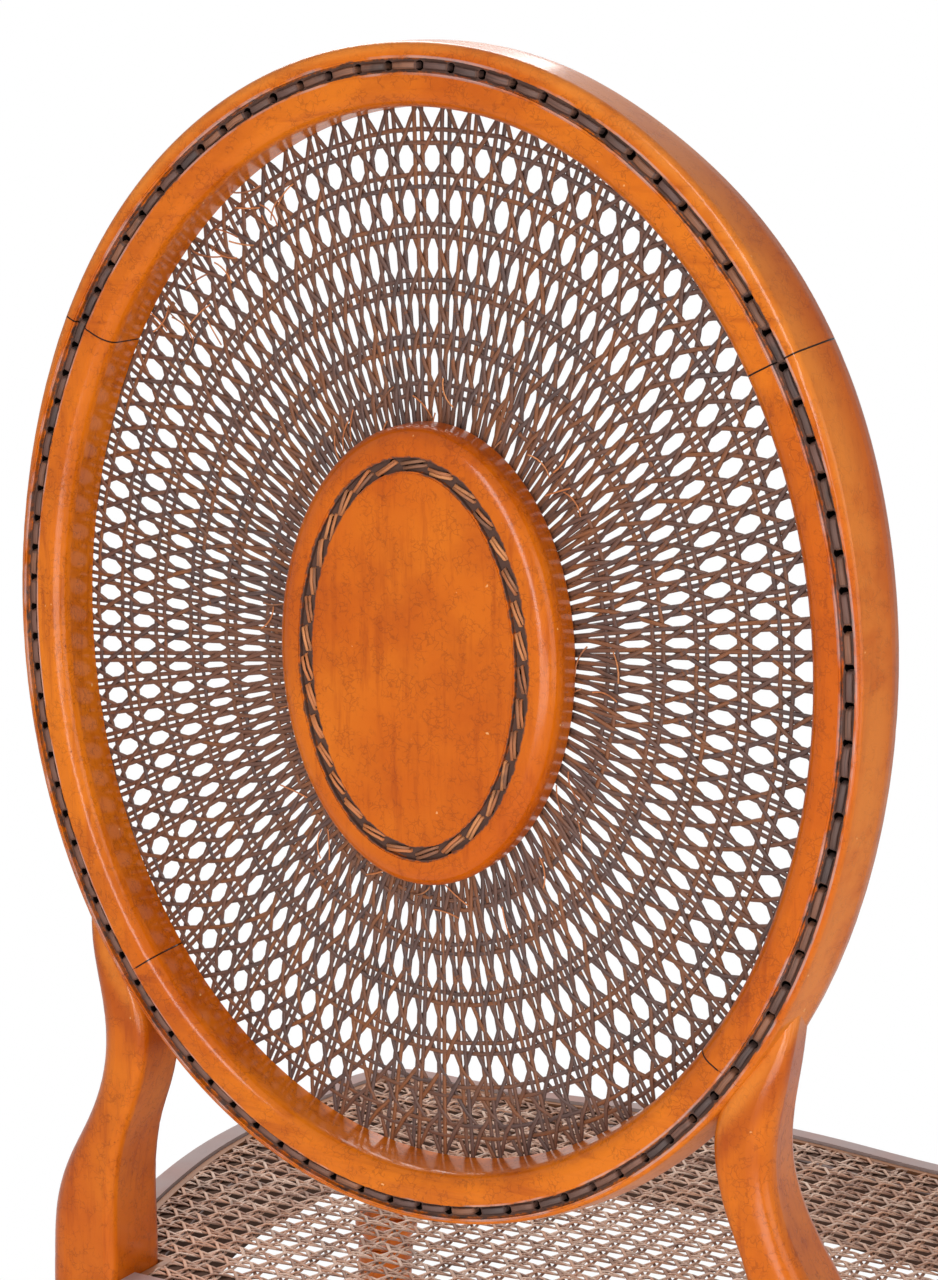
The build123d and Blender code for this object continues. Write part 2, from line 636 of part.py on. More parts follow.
def seat_rails(ring):
    """The four rails of the seat, cut from the ring."""
    low = SEAT_UNDERSIDE_Z - OVERRUN
    high = SEAT_HEIGHT + OVERRUN
    wide = SEAT_HALF_WIDTH + OVERRUN
    front_y = REAR_FACE_Y - SEAT_DEPTH - OVERRUN
    corner_y = REAR_FACE_Y - SEAT_DEPTH + FRONT_RAIL_RETURN
    post_y = REAR_FACE_Y - POST_DEPTH_AT_SEAT
    inner_x = POST_SEAT_INSIDE
    parts = {
        "front": ring & block(-wide, wide, front_y, corner_y, low, high),
        "left": ring & block(-wide, -inner_x, corner_y, post_y, low, high),
        "right": ring & block(inner_x, wide, corner_y, post_y, low, high),
        "rear": ring & block(-inner_x, inner_x, REAR_FACE_Y - REAR_RAIL_THICKNESS,
                             REAR_FACE_Y, low, high),
    }
    dowels = [d for group in rail_dowels(DOWEL_CLEARANCE).values() for d in group]
    return {name: part - near(part, dowels) for name, part in parts.items()}


def seat_spline():
    """The strip that wedges the edge of the seat cane into its channel."""
    bottom = SEAT_LEDGE_Z - SPLINE_DEPTH
    top = SEAT_LEDGE_Z + CANE_THICKNESS
    strip = seat_field(SEAT_CLEARANCE, bottom, top)
    return strip - seat_field(SPLINE_WIDTH, bottom - OVERRUN, top + OVERRUN)


def inside_polygon(point, polygon):
    """Whether a point lies in a polygon, by counting the sides it looks across."""
    inside = False
    for number, first in enumerate(polygon):
        second = polygon[number - 1]
        if (first.Y > point.Y) != (second.Y > point.Y):
            cross = first.X + (second.X - first.X) * (point.Y - first.Y) / (second.Y - first.Y)
            if point.X < cross:
                inside = not inside
    return inside


def seat_net():
    """The cane of the seat as one holed sheet on the ledge of the rails."""
    sheet = seat_field(SPLINE_WIDTH + SEAT_CLEARANCE, SEAT_LEDGE_Z, SEAT_LEDGE_Z + CANE_THICKNESS)
    step_x = (SEAT_HALF_WIDTH - SEAT_RAIL_WIDTH) * 2 / SEAT_NET_COLUMNS
    step_y = (SEAT_DEPTH - SEAT_RAIL_WIDTH - REAR_RAIL_THICKNESS) / SEAT_NET_ROWS
    half_x = step_x * SEAT_GAP_SHARE / 2
    half_y = step_y * SEAT_GAP_SHARE / 2
    limit = seat_points(SEAT_RAIL_WIDTH + SEAT_NET_MARGIN)
    rear = REAR_FACE_Y - REAR_RAIL_THICKNESS
    shoulder = GAP_SHOULDER_SHARE
    corners = [(1, shoulder), (shoulder, 1), (-shoulder, 1), (-1, shoulder),
               (-1, -shoulder), (-shoulder, -1), (shoulder, -1), (1, -shoulder)]
    gaps = []
    for row in range(SEAT_NET_ROWS):
        y = rear - step_y * (row + 1 / 2)
        for column in range(SEAT_NET_COLUMNS):
            x = step_x * (column + 1 / 2 - SEAT_NET_COLUMNS / 2)
            points = [Vector(x + half_x * cx, y + half_y * cy, 0) for cx, cy in corners]
            if all(inside_polygon(p, limit) for p in points):
                gaps.append(Wire.make_polygon(points, close=True))
    top = sheet.faces().sort_by(Axis.Z)[-1]
    outline = Pos(0, 0, -top.center().Z) * top.outer_wire()
    face = Face(outline, gaps)
    return Pos(0, 0, SEAT_LEDGE_Z) * extrude(face, CANE_THICKNESS, dir=(0, 0, 1))


def main():
    os.makedirs("parts", exist_ok=True)
    ring = oval_frame()
    cuts = back_cuts()
    whole_posts = {"left": rear_post(-1, ring), "right": rear_post(1, ring)}
    rails = seat_rails(seat_ring() - list(whole_posts.values()))
    holes = rail_dowels(DOWEL_CLEARANCE)
    post_holes = holes["rear"] + holes["side"]
    for name, post in whole_posts.items():
        save(f"{name}_rear_post", post - near(post, cuts) - near(post, post_holes))
    save("crest_rail", crest_rail(ring, cuts))
    save("lower_back_rail", lower_back_rail(ring, list(whole_posts.values()), cuts))
    save("back_joint_dowels", joint_dowels())
    save("back_medallion", medallion())
    save("back_cane", back_net())
    save("frame_cane_ties", cane_ties(frame_holes(), TIE_WIDTH, TIE_END_GAP, GROOVE_DEPTH))
    save("medallion_cane_ties",
         cane_ties(stitch_holes(), STITCH_WIDTH, STITCH_END_GAP,
                   CANE_LEDGE_DEPTH - MEDALLION_DEPTH + GROOVE_DEPTH))
    save("frame_cane_binder", binder(OVAL_HALF_WIDTH, OVAL_HALF_HEIGHT))
    save("medallion_cane_binder",
         binder(MEDALLION_GROOVE_HALF_WIDTH, MEDALLION_GROOVE_HALF_HEIGHT))
    for name, rail in rails.items():
        save(f"{name}_seat_rail", rail)
    for name, dowels in rail_dowels().items():
        save(f"{name}_rail_dowels", dowels)
    for name, place in leg_places().items():
        save(f"{name}_front_leg", front_leg(*place))
    save("seat_spline", seat_spline())
    save("seat_cane", seat_net())


if __name__ == "__main__":
    main()
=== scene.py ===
import math
import random
import bpy
from mathutils import Matrix, Vector
from mathutils.bvhtree import BVHTree


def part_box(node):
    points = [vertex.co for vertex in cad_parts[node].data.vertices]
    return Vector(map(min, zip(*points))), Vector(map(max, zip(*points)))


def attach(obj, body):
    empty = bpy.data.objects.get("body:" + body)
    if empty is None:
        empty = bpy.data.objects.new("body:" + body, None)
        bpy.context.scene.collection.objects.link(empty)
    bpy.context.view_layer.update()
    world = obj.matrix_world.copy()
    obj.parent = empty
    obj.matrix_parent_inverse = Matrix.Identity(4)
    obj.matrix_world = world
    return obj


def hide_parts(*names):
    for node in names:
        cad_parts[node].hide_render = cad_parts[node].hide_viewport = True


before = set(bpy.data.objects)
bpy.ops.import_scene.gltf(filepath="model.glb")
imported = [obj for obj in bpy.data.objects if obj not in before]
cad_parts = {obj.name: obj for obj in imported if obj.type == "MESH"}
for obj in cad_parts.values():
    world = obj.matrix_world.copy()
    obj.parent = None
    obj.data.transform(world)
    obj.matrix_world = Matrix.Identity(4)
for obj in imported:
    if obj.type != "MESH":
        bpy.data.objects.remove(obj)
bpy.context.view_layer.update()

# A cane chair with an oval back, in metres. The oval is measured on the middle of its groove.
MM = 0.001
BACK_RISE = 309 * MM
BACK_TILT = math.radians(4.5)
OVAL_HALF_WIDTH = 190 * MM
OVAL_HALF_HEIGHT = 240 * MM
UPPER_JOINT = math.radians(33.3)
LOWER_JOINT = math.radians(-40.6)
JOINT_REACH = 24 * MM
MEDALLION_HALF_WIDTH = 50.5 * MM
MEDALLION_HALF_HEIGHT = 82 * MM
MEDALLION_REAR = 2 * MM
CANE_DEPTH = 24 * MM
GROOVE_DEPTH = 2.5 * MM
FRAME_HOLES = 96
STITCH_HOLES = 64
HOLE_RADIUS = 2.0 * MM
STITCH_HOLE_RADIUS = 1.2 * MM
STITCH_ROW_OFFSET = 1.5 * MM
STITCH_PAIR_OFFSET = 0.8 * MM
STITCH_OVERLAP = 2.5 * MM
STITCH_WIDTH = 1.5 * MM
TIE_WIDTH = 3.1 * MM
TIE_THICKNESS = 0.8 * MM
BINDER_WIDTH = 5.0 * MM
BINDER_THICKNESS = 0.9 * MM
BINDER_STEPS = 240
BINDER_LIFT = 2.3 * MM
LOOP_WIDTH = 2.0 * MM
LOOP_THICKNESS = 0.5 * MM

# How far hand work strays from an even net
HUB_STRAY = 0.8 * MM
CROSSING_STRAY = 0.3 * MM
RADIAL_STRAY = 0.15 * MM
RING_STRAY = 0.18 * MM
DIAGONAL_STRAY = 0.2 * MM
TIE_STRAY = 0.3 * MM
TIE_MIDDLE_STRAY = 0.25 * MM
STITCH_STRAY = 0.5 * MM
LOOP_STRAY = 0.3 * MM
SEAT_STRAY = 0.15 * MM

# Least and greatest rise of a strand above the floor of its groove, in millimetres
TIE_RISES = (0.45, 1.1)
STITCH_RISES = (0.8, 1.9)

# How far the drilled holes stand off an even pitch, as shares of the pitch of the frame
HOLE_START_SHARE = 0.15
HOLE_DRIFT_ACROSS_SHARE = 0.28
HOLE_DRIFT_UP_SHARE = -0.75
OVAL_STEPS = 3600

SEAT_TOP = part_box("rear_seat_rail")[1].z
REAR_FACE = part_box("rear_seat_rail")[1].y
BACK_CENTRE = Vector((0, REAR_FACE + BACK_RISE * math.tan(BACK_TILT), SEAT_TOP + BACK_RISE))

# Axes of the back: across, up its slope, and forwards through its thickness
BACK_TURN = (math.pi / 2 - BACK_TILT, 0, 0)
BACK = Matrix.Translation(BACK_CENTRE) @ Matrix.Rotation(BACK_TURN[0], 4, "X")

# Cane of the back, with its rings as shares of the way from the medallion to the frame
RING_SIDE_SHARES = (0.218, 0.366, 0.500, 0.631, 0.758, 0.882)
RING_TOP_SHARES = (0.180, 0.304, 0.446, 0.586, 0.712, 0.825)
STRAND_WIDTH = 1.95 * MM
STRAND_THICKNESS = 0.75 * MM
RADIAL_PAIR_OFFSET = 1.5 * MM
RADIAL_PAIR_SHARE = 0.2
RING_PAIR_OFFSET = 2.6 * MM
INNER_RING_PAIR_OFFSET = 2.2 * MM
CANE_MIDDLE = CANE_DEPTH + 0.9 * MM
RADIAL_PAIR_STEP = 0.3 * MM
PAIR_SHARE_IN_HOLE = 0.3
WEAVE_HEIGHT = 0.8 * MM
RING_SWING = WEAVE_HEIGHT * 0.6
FIBRE_WIDTH = 0.7 * MM
FIBRE_STEP = 2.2 * MM
FIBRE_POINTS = 7
BROKEN_FIBRES = 30
HUB_FIBRES = 40
BROKEN_COLUMNS = (13, 14, 15)

# Cane of the seat
SEAT_PITCH = 14.2 * MM
SEAT_STRAND_WIDTH = 1.85 * MM
SEAT_STRAND_THICKNESS = 0.75 * MM
SEAT_PAIR_OFFSET = 1.65 * MM
SEAT_WEAVE_HEIGHT = 1.3 * MM
SEAT_PAIR_SWING = SEAT_WEAVE_HEIGHT * 0.45
SEAT_LIFT = 1.0 * MM
EDGE_HALVINGS = 9
EDGE_ROOM = 0.5 * MM

rng = random.Random(11)


def dressed(piece, slot, finish, *nodes):
    """Let a piece ride on the chair in its finish, in place of the plain nodes it stands for."""
    piece.data.materials.append(finish)
    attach(piece, "root")
    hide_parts(*nodes)
    return piece


# Shader values

class Field:
    """A number that changes over a surface; sums on it add their maths nodes."""

    def __init__(self, finish, socket):
        self.finish = finish
        self.socket = socket

    def maths(self, operation, *values):
        return self.finish.maths(operation, self, *values)

    def __add__(self, other):
        return self.maths("ADD", other)

    def __sub__(self, other):
        return self.maths("SUBTRACT", other)

    def __mul__(self, other):
        return self.maths("MULTIPLY", other)

    def __truediv__(self, other):
        return self.maths("DIVIDE", other)

    def __rsub__(self, other):
        return self.finish.maths("SUBTRACT", other, self)

    def __abs__(self):
        return self.maths("ABSOLUTE")

    __radd__ = __add__

    def root(self):
        return self.maths("SQRT")

    def ramp(self, low, high):
        """Nought below one value and one above the other, with a smooth step between."""
        node = self.finish.node("ShaderNodeMapRange", {"interpolation_type": "SMOOTHSTEP"},
                                {"Value": self, "From Min": low, "From Max": high})
        return Field(self.finish, node.outputs[0])


class Finish:
    """The nodes of a material, or of the world, and the one way in which they are added."""

    def __init__(self, owner):
        self.owner = owner
        self.owner.use_nodes = True
        self.tree = self.owner.node_tree
        self.tree.nodes.clear()

    def node(self, kind, settings=None, inputs=None):
        made = self.tree.nodes.new(kind)
        for key, value in (settings or {}).items():
            setattr(made, key, value)
        for key, value in (inputs or {}).items():
            source = value.socket if isinstance(value, Field) else value
            if isinstance(source, bpy.types.NodeSocket):
                self.tree.links.new(source, made.inputs[key])
            else:
                made.inputs[key].default_value = source
        return made

    def maths(self, operation, *values):
        made = self.node("ShaderNodeMath", {"operation": operation}, dict(enumerate(values)))
        return Field(self, made.outputs[0])

    def place(self):
        return self.node("ShaderNodeTexCoord").outputs["Object"]

    def attribute(self, name):
        made = self.node("ShaderNodeAttribute", {"attribute_name": name})
        return Field(self, made.outputs["Fac"])

    def parts(self, vector):
        split = self.node("ShaderNodeSeparateXYZ", inputs={0: vector})
        return [Field(self, socket) for socket in split.outputs]

    def vector(self, x, y, z):
        return self.node("ShaderNodeCombineXYZ", inputs={"X": x, "Y": y, "Z": z}).outputs[0]

    def stretched(self, place, scale):
        return self.node("ShaderNodeMapping", {"vector_type": "POINT"},
                         {"Vector": place, "Scale": scale}).outputs[0]

    def noise(self, place, scale, detail, roughness=0.5):
        made = self.node("ShaderNodeTexNoise", inputs={
            "Vector": place, "Scale": scale, "Detail": detail, "Roughness": roughness})
        return Field(self, made.outputs["Fac"])

    def mix(self, share, first, second):
        made = self.node("ShaderNodeMix", {"data_type": "RGBA"}, {0: share, 6: first, 7: second})
        return made.outputs[2]

    def bump(self, height, distance, strength):
        return self.node("ShaderNodeBump", inputs={
            "Height": height, "Distance": distance, "Strength": strength}).outputs[0]

    def finished(self, **sockets):
        """Close the material on one Principled shader with these values."""
        inputs = {key.replace("_", " "): value for key, value in sockets.items()}
        shader = self.node("ShaderNodeBsdfPrincipled", inputs=inputs)
        self.node("ShaderNodeOutputMaterial", inputs={"Surface": shader.outputs[0]})
        return self.owner


def new_finish(name):
    return Finish(bpy.data.materials.new(name))


# Varnished wood

ORANGE = (0.480, 0.088, 0.001, 1)
PALE_ORANGE = (0.610, 0.150, 0.005, 1)
DEEP_ORANGE = (0.290, 0.041, 0.001, 1)
CHIPPED = (0.740, 0.420, 0.160, 1)
WORN_AND_LIT_ORANGE = (0.620, 0.200, 0.028, 1)
CRACKLE_BROWN = (0.120, 0.018, 0.001, 1)
GROOVE_DIRT = (0.066, 0.046, 0.040, 1)
HOLE_SHADE_AND_JOINT_BLACK = (0.008, 0.005, 0.004, 1)
DUST_AND_SHEEN = (0.470, 0.390, 0.380, 1)
OLD_DIRT_AND_SHADE = (0.090, 0.052, 0.038, 1)

# How fine each pattern in the varnish is, in features to the metre
CLOUD_SCALE = 9
PATCH_SCALE = 34
GRAIN_ALONG_SCALE = 11
GRAIN_ACROSS_SCALE = 230
CRACK_SCALE = 320
CRACK_SHAKE_SCALE = 160
CRACK_SHAKE_SHARE = 0.010
CRACK_TEAR_SCALE = 170
SPECK_SCALE = 420
CHIP_SCALE = 270
RAGGED_SCALE = 190
LIP_SCALE = 60

# Scales of the grain across, deep and up: fine across the fibres and coarse along them
GRAIN_UP = (GRAIN_ACROSS_SCALE, GRAIN_ACROSS_SCALE, GRAIN_ALONG_SCALE)
GRAIN_SIDEWAYS = (GRAIN_ALONG_SCALE, GRAIN_ACROSS_SCALE, GRAIN_ACROSS_SCALE)
GRAIN_FORWARDS = (GRAIN_ACROSS_SCALE, GRAIN_ALONG_SCALE, GRAIN_ACROSS_SCALE)
GRAIN_ACROSS_BACK = (13, 230, 190)

# Where in their noise the patches begin and end
PATCH_EDGE = (0.42, 0.70)

# How much of each tone shows at most, and the gloss of the varnish
GRAIN_SHARE = 0.55
PATCH_SHARE = 0.35
CRACK_SHARE = 0.36
SPECK_SHARE = 0.7
CHIP_SHARE = 0.7
WORN_AND_LIT_SHARE = 0.55
SHADED_RIM_SHARE = 0.35
GROOVE_SHARE = 0.94
LIP_DUST_AND_SHEEN_SHARE = 0.45
WALL_DUST_SHARE = 0.85
VARNISH_ROUGHNESS = 0.30
VARNISH_COAT = 0.42
VARNISH_COAT_ROUGHNESS = 0.18
VARNISH_RELIEF = 0.12 * MM
VARNISH_SPECULAR = 0.02

# Marks on the back. Each pair is where a mark begins to change and where it has changed, as a
# distance from the middle of a groove or as a depth through the back
GROOVE_EDGE = (2.2 * MM, 3.2 * MM)
GROOVE_RAGGED = 4.0 * MM
MEDALLION_GROOVE_EXTRA = 0.5 * MM
GROOVE_BACKS = (6 * MM, 8 * MM)
# Pale line along both lips of the groove: dust and painted reflection
LIP_INNER_EDGE = (2.6 * MM, 3.0 * MM)
LIP_OUTER_EDGE = (3.5 * MM, 4.0 * MM)
# Paler band outside the groove: partly wear, partly painted light on the outer slope
WORN_AND_LIT_INNER_EDGE = (4 * MM, 7 * MM)
WORN_AND_LIT_OUTER_EDGE = (9 * MM, 15 * MM)
# Painted shade on the outer edge of the frame, where it rounds away
SHADED_RIM_INNER_EDGE = (8 * MM, 15 * MM)
SHADED_RIM_OUTER_EDGE = (16 * MM, 22 * MM)
# Painted shade inside the drilled holes, below the floor of the groove
HOLE_SHADE_EDGE = (3.2 * MM, 3.5 * MM)
FRAME_HOLE_SHADE_START = (2.6 * MM, 3.4 * MM)
MEDALLION_HOLE_SHADE_START = (4.6 * MM, 5.4 * MM)
HOLE_SHADE_END = (22 * MM, 23 * MM)
JOINT_HALF_WIDTH = (0.15 * MM, 0.55 * MM)
LOWER_JOINT_OUTER_END = (-5.5 * MM, -4.5 * MM)

# Marks on the seat rails, as levels above the floor near the top of the seat
RIM_TOP_EDGE = (SEAT_TOP - 3.0 * MM, SEAT_TOP - 1.0 * MM)
RIM_WALL_EDGE = (SEAT_TOP - 5.5 * MM, SEAT_TOP - 4.0 * MM)

# How far a face has to turn up to take dust and painted reflection, or towards the middle of the
# chair to take old dirt and painted shade, with pale dust near the top
FACING_UP = (0.55, 0.95)
FACING_IN = (0.02, 0.10)

# The dowels inside the joints
PALE_BEECH = (0.52, 0.33, 0.17, 1)
DARK_BEECH = (0.40, 0.22, 0.10, 1)
RAY_SCALES = (900, 90, 90)
DOWEL_RELIEF = 0.1 * MM

# How fine the marks along a strand of cane are, in features to the metre
STREAK_SCALE = 60
STAIN_SCALE = 22
BLOTCH_SCALE = 55
CANE_RELIEF = 0.25 * MM

# Cane by its use: two tones between which the strands lie, a stain, and old dirt
CANE_TONES = {
    "old_back_cane": ((0.128, 0.054, 0.034, 1), (0.086, 0.048, 0.041, 1),
                      (0.210, 0.070, 0.022, 1), (0.030, 0.018, 0.015, 1)),
    "groove_cane": ((0.130, 0.062, 0.047, 1), (0.065, 0.040, 0.035, 1),
                    (0.250, 0.100, 0.050, 1), (0.022, 0.015, 0.013, 1)),
    "stitch_cane": ((0.480, 0.150, 0.045, 1), (0.180, 0.080, 0.045, 1),
                    (0.640, 0.250, 0.090, 1), (0.040, 0.026, 0.022, 1)),
    "seat_cane_light": ((0.590, 0.300, 0.180, 1), (0.290, 0.140, 0.088, 1),
                        (0.820, 0.580, 0.450, 1), (0.060, 0.026, 0.016, 1)),
    "binder_cane": ((0.300, 0.130, 0.060, 1), (0.220, 0.100, 0.060, 1),
                    (0.380, 0.170, 0.080, 1), (0.070, 0.040, 0.030, 1)),
}


def off_oval(x, y, half_width, half_height):
    """How far a point of the back lies outside an oval."""
    reach = (x * x / half_width ** 2 + y * y / half_height ** 2) - 1
    slope = (x * x / half_width ** 4 + y * y / half_height ** 4).root() * 2
    return reach / slope


def joint_line(x, y, angle):
    """Nought on the joint that crosses the oval at this angle, one away from it."""
    px = OVAL_HALF_WIDTH * math.cos(angle)
    py = OVAL_HALF_HEIGHT * math.sin(angle)
    along = Vector((-OVAL_HALF_WIDTH * math.sin(angle), OVAL_HALF_HEIGHT * math.cos(angle)))
    along.normalize()
    off = abs((abs(x) - px) * along.x + (y - py) * along.y)
    away = ((abs(x) - px) * (abs(x) - px) + (y - py) * (y - py)).root()
    return 1 - (1 - off.ramp(*JOINT_HALF_WIDTH)) * (1 - away.ramp(JOINT_REACH * 0.9, JOINT_REACH))


def marks_on_back(wood, place, cloud, patch, colour, dirt):
    """Worn outer band with painted light, painted shade on the outer edges, dirty grooves, pale
    lips of dust and painted reflection, painted shade in the holes, and hairline joints.
    """
    seen = wood.node("ShaderNodeMapping", {"vector_type": "TEXTURE"}, {
        "Vector": place, "Location": BACK_CENTRE, "Rotation": BACK_TURN}).outputs[0]
    x, y, depth = wood.parts(seen)
    outwards = off_oval(x, y, OVAL_HALF_WIDTH, OVAL_HALF_HEIGHT)
    frame_off = abs(outwards)
    hub_off = abs(off_oval(x, y, MEDALLION_HALF_WIDTH, MEDALLION_HALF_HEIGHT))
    torn = (wood.noise(place, RAGGED_SCALE, detail=4, roughness=0.7) - 0.5) * GROOVE_RAGGED
    ragged = frame_off.maths("MINIMUM", hub_off - MEDALLION_GROOVE_EXTRA) + torn
    # Paler band outside the groove, partly wear and partly painted light on the outer slope
    worn_and_lit = outwards.ramp(*WORN_AND_LIT_INNER_EDGE) * (1 - outwards.ramp(*WORN_AND_LIT_OUTER_EDGE))
    worn_and_lit = worn_and_lit * (WORN_AND_LIT_SHARE - patch.ramp(*PATCH_EDGE) * 0.4)
    colour = wood.mix(worn_and_lit, colour, WORN_AND_LIT_ORANGE)
    # Painted shade: the outer edge of the frame darkened towards deep orange where it rounds away
    rim = outwards.ramp(*SHADED_RIM_INNER_EDGE) * (1 - outwards.ramp(*SHADED_RIM_OUTER_EDGE))
    rim = rim * (SHADED_RIM_SHARE + cloud.ramp(0.35, 0.65) * 0.25)
    colour = wood.mix(rim, colour, DEEP_ORANGE)
    behind = 1 - depth.ramp(*GROOVE_BACKS)
    groove = (1 - ragged.ramp(*GROOVE_EDGE)) * behind
    colour = wood.mix(groove * GROOVE_SHARE, colour, GROOVE_DIRT)
    # Pale line along both lips of the groove: dust, and painted reflection of light on the bead's
    # slope
    lip = frame_off.ramp(*LIP_INNER_EDGE) * (1 - frame_off.ramp(*LIP_OUTER_EDGE)) * behind
    dusted_and_sheen = lip * wood.noise(place, LIP_SCALE, detail=3).ramp(0.40, 0.62)
    colour = wood.mix(dusted_and_sheen * LIP_DUST_AND_SHEEN_SHARE, colour, DUST_AND_SHEEN)
    # Painted shade: the walls inside the drilled holes painted near black below the groove floor
    frame_hole_shade = (1 - frame_off.ramp(*HOLE_SHADE_EDGE)) * depth.ramp(*FRAME_HOLE_SHADE_START)
    hub_hole_shade = (1 - hub_off.ramp(*HOLE_SHADE_EDGE)) * depth.ramp(*MEDALLION_HOLE_SHADE_START)
    hole = frame_hole_shade.maths("MAXIMUM", hub_hole_shade) * (1 - depth.ramp(*HOLE_SHADE_END))
    lower = joint_line(x, y, LOWER_JOINT).maths("MAXIMUM", outwards.ramp(*LOWER_JOINT_OUTER_END))
    joints = joint_line(x, y, UPPER_JOINT).maths("MINIMUM", lower)
    # The black of the holes is painted shade; the black of the joints is their own dark line
    shade_and_joint_black = hole.maths("MAXIMUM", 1 - joints)
    return wood.mix(shade_and_joint_black, colour, HOLE_SHADE_AND_JOINT_BLACK), dirt.maths("MAXIMUM", groove)


def marks_on_seat(wood, place, cloud, colour, dirt):
    """Pale dust and painted reflection on the top of the rim, pale dust on its inner wall, and old
    dirt with painted shade on the ledge and inner faces under the cane.
    """
    normal = wood.node("ShaderNodeNewGeometry").outputs["Normal"]
    facing_x, facing_y, facing_up = wood.parts(normal)
    place_x, place_y, level = wood.parts(place)
    upwards = facing_up.ramp(*FACING_UP)
    inwards = (0 - facing_x * place_x - facing_y * place_y).ramp(*FACING_IN)
    rim = level.ramp(*RIM_TOP_EDGE)
    # Painted reflection and dust: faces turned up at the top of the rim paled towards grey-pink
    dusty_and_sheen = upwards * (cloud.ramp(0.30, 0.55) * 0.25 + 0.70)
    colour = wood.mix(dusty_and_sheen * rim, colour, DUST_AND_SHEEN)
    wall = level.ramp(*RIM_WALL_EDGE)
    # Old dirt and painted shade: the ledge under the cane and the inner faces of the rails
    # darkened
    dirty_and_shaded = (upwards * (1 - rim)).maths("MAXIMUM", inwards)
    colour = wood.mix(dirty_and_shaded, colour, OLD_DIRT_AND_SHADE)
    colour = wood.mix(inwards * wall * WALL_DUST_SHARE, colour, DUST_AND_SHEEN)
    return colour, dirt.maths("MAXIMUM", upwards).maths("MAXIMUM", inwards)


def varnish(name, grain_scale, of_back=False, of_seat=False):
    """Orange varnish over fine wood, crackled; on the back, dirty grooves with painted light and
    shade; on the seat, dust with painted reflection and dirt with painted shade.
    """
    wood = new_finish(name)
    place = wood.place()
    cloud = wood.noise(place, CLOUD_SCALE, detail=4, roughness=0.6)
    grain = wood.noise(wood.stretched(place, grain_scale), 1, detail=5, roughness=0.65)
    patch = wood.noise(place, PATCH_SCALE, detail=5, roughness=0.62)
    shake = wood.node("ShaderNodeTexNoise", inputs={
        "Vector": place, "Scale": CRACK_SHAKE_SCALE, "Detail": 4.0}).outputs["Color"]
    shaken = wood.node("ShaderNodeMix", {"data_type": "VECTOR"}, {
        0: CRACK_SHAKE_SHARE, 4: place, 5: shake}).outputs[1]
    cells = wood.node("ShaderNodeTexVoronoi", {"feature": "DISTANCE_TO_EDGE"}, {
        "Vector": shaken, "Scale": CRACK_SCALE})
    torn = wood.noise(place, CRACK_TEAR_SCALE, detail=2)
    cracks = (1 - Field(wood, cells.outputs["Distance"]).ramp(0.00, 0.10)) * torn.ramp(0.42, 0.56)
    cracks = cracks * patch.ramp(0.30, 0.50)
    specks = wood.noise(place, SPECK_SCALE, detail=1).ramp(0.76, 0.82) * cloud.ramp(0.45, 0.6)
    chips = wood.noise(place, CHIP_SCALE, detail=1).ramp(0.79, 0.83)
    colour = wood.mix(cloud.ramp(0.3, 0.72), ORANGE, PALE_ORANGE)
    colour = wood.mix(grain.ramp(0.48, 0.74) * GRAIN_SHARE, colour, DEEP_ORANGE)
    colour = wood.mix(patch.ramp(*PATCH_EDGE) * PATCH_SHARE, colour, DEEP_ORANGE)
    colour = wood.mix(cracks * CRACK_SHARE, colour, CRACKLE_BROWN)
    colour = wood.mix(specks * SPECK_SHARE, colour, CRACKLE_BROWN)
    colour = wood.mix(chips * CHIP_SHARE, colour, CHIPPED)
    dirt = specks * 0.5
    if of_back:
        colour, dirt = marks_on_back(wood, place, cloud, patch, colour, dirt)
    if of_seat:
        colour, dirt = marks_on_seat(wood, place, cloud, colour, dirt)
    rough = VARNISH_ROUGHNESS + cloud * 0.10 + cracks * 0.1 + dirt * 0.45
    height = grain * 0.25 - cracks - dirt * 0.6
    return wood.finished(Base_Color=colour, Roughness=rough,
                         Normal=wood.bump(height, VARNISH_RELIEF, strength=0.5),
                         Specular_IOR_Level=VARNISH_SPECULAR,
                         Coat_Weight=(1 - dirt) * VARNISH_COAT,
                         Coat_Roughness=VARNISH_COAT_ROUGHNESS)


def dowel_wood():
    """Pale turned beech with short rays."""
    wood = new_finish("beech_dowel")
    place = wood.place()
    rays = wood.noise(wood.stretched(place, RAY_SCALES), 1, detail=3)
    colour = wood.mix(rays.ramp(0.35, 0.7), PALE_BEECH, DARK_BEECH)
    return wood.finished(Base_Color=colour, Roughness=0.62,
                         Normal=wood.bump(rays, DOWEL_RELIEF, strength=0.4))


def cane(name, streak_share, rough, dirt_share):
    """Split cane: long fibres, a tone of its own for each strand, and old dirt."""
    fibre = new_finish(name)
    place = fibre.place()
    strand = fibre.attribute("strand")
    along = fibre.attribute("along")
    across = fibre.attribute("across")
    streaked = fibre.vector(across * 7, along * STREAK_SCALE, strand * 97)
    streaks = fibre.noise(streaked, 1, detail=4, roughness=0.7)
    blotch = fibre.noise(place, BLOTCH_SCALE, detail=4, roughness=0.6)
    stained_along = fibre.vector(strand * 31, along * STAIN_SCALE, strand * 7)
    stain = fibre.noise(stained_along, 1, detail=3)
    first, second, stained, dark = CANE_TONES[name]
    colour = fibre.mix(strand, first, second)
    colour = fibre.mix(stain.ramp(0.42, 0.68), colour, stained)
    colour = fibre.mix(streaks.ramp(0.44, 0.74) * streak_share, colour, dark)
    colour = fibre.mix(blotch.ramp(0.55, 0.75) * dirt_share, colour, dark)
    return fibre.finished(Base_Color=colour, Roughness=rough + streaks * 0.2,
                          Normal=fibre.bump(streaks - blotch * 0.5, CANE_RELIEF, strength=0.7),
                          Specular_IOR_Level=0.4)


